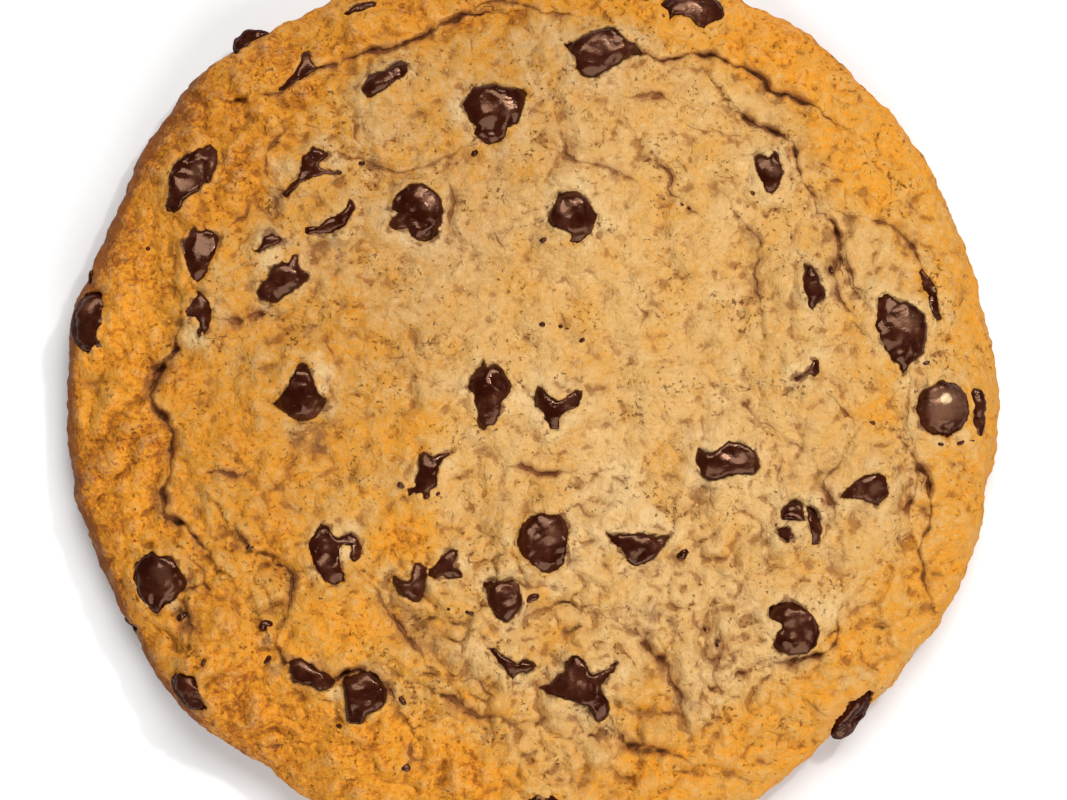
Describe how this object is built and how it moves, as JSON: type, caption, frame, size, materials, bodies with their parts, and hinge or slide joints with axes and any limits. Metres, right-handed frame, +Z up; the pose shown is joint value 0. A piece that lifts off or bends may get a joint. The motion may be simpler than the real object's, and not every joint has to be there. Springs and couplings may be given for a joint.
{
  "type": "chocolate chip cookie",
  "caption": "Round baked cookie with a crinkled golden top, a flat underside and dark chocolate chips set in pockets in its top.",
  "frame": {"origin": "centre of the flat underside, on the surface that the cookie lies on", "axes": "+Z up through the cookie, +X to its right and +Y to its far side as it is seen from above"},
  "size_m": [0.1018, 0.0988, 0.0145],
  "materials": {
    "dough": "baked dough, matte, golden at the rim and paler in the middle",
    "chocolate": "dark chocolate, soft satin sheen"
  },
  "bodies": {
    "root": {"chip_below_left": "chocolate", "chip_big_below": "chocolate", "chip_bottom": "chocolate", "chip_centre_tall": "chocolate", "chip_centre_vee": "chocolate", "chip_comma_right": "chocolate", "chip_covered_right": "chocolate", "chip_crease_upper_left": "chocolate", "chip_edge_left_sliver": "chocolate", "chip_edge_lower_left": "chocolate", "chip_edge_lower_right": "chocolate", "chip_edge_upper_left": "chocolate", "chip_eye_below": "chocolate", "chip_inner_left": "chocolate", "chip_left_below": "chocolate", "chip_left_triangle": "chocolate", "chip_lower_left": "chocolate", "chip_lower_left_long": "chocolate", "chip_lower_star": "chocolate", "chip_middle_left_big": "chocolate", "chip_middle_top": "chocolate", "chip_outer_left_big": "chocolate", "chip_outer_left_low": "chocolate", "chip_outer_left_mid": "chocolate", "chip_outer_left_top": "chocolate", "chip_pair_left": "chocolate", "chip_pair_right": "chocolate", "chip_right_bean": "chocolate", "chip_right_big": "chocolate", "chip_right_inner": "chocolate", "chip_right_low": "chocolate", "chip_right_round": "chocolate", "chip_right_sliver": "chocolate", "chip_right_small": "chocolate", "chip_right_top": "chocolate", "chip_side_left": "chocolate", "chip_slit_left": "chocolate", "chip_sliver_left": "chocolate", "chip_sliver_top": "chocolate", "chip_small_below": "chocolate", "chip_speck_left": "chocolate", "chip_squiggle": "chocolate", "chip_top_middle": "chocolate", "chip_top_right": "chocolate", "chip_upper_left": "chocolate", "chip_upper_middle": "chocolate", "dough": "dough"}
  },
  "joints": []
}
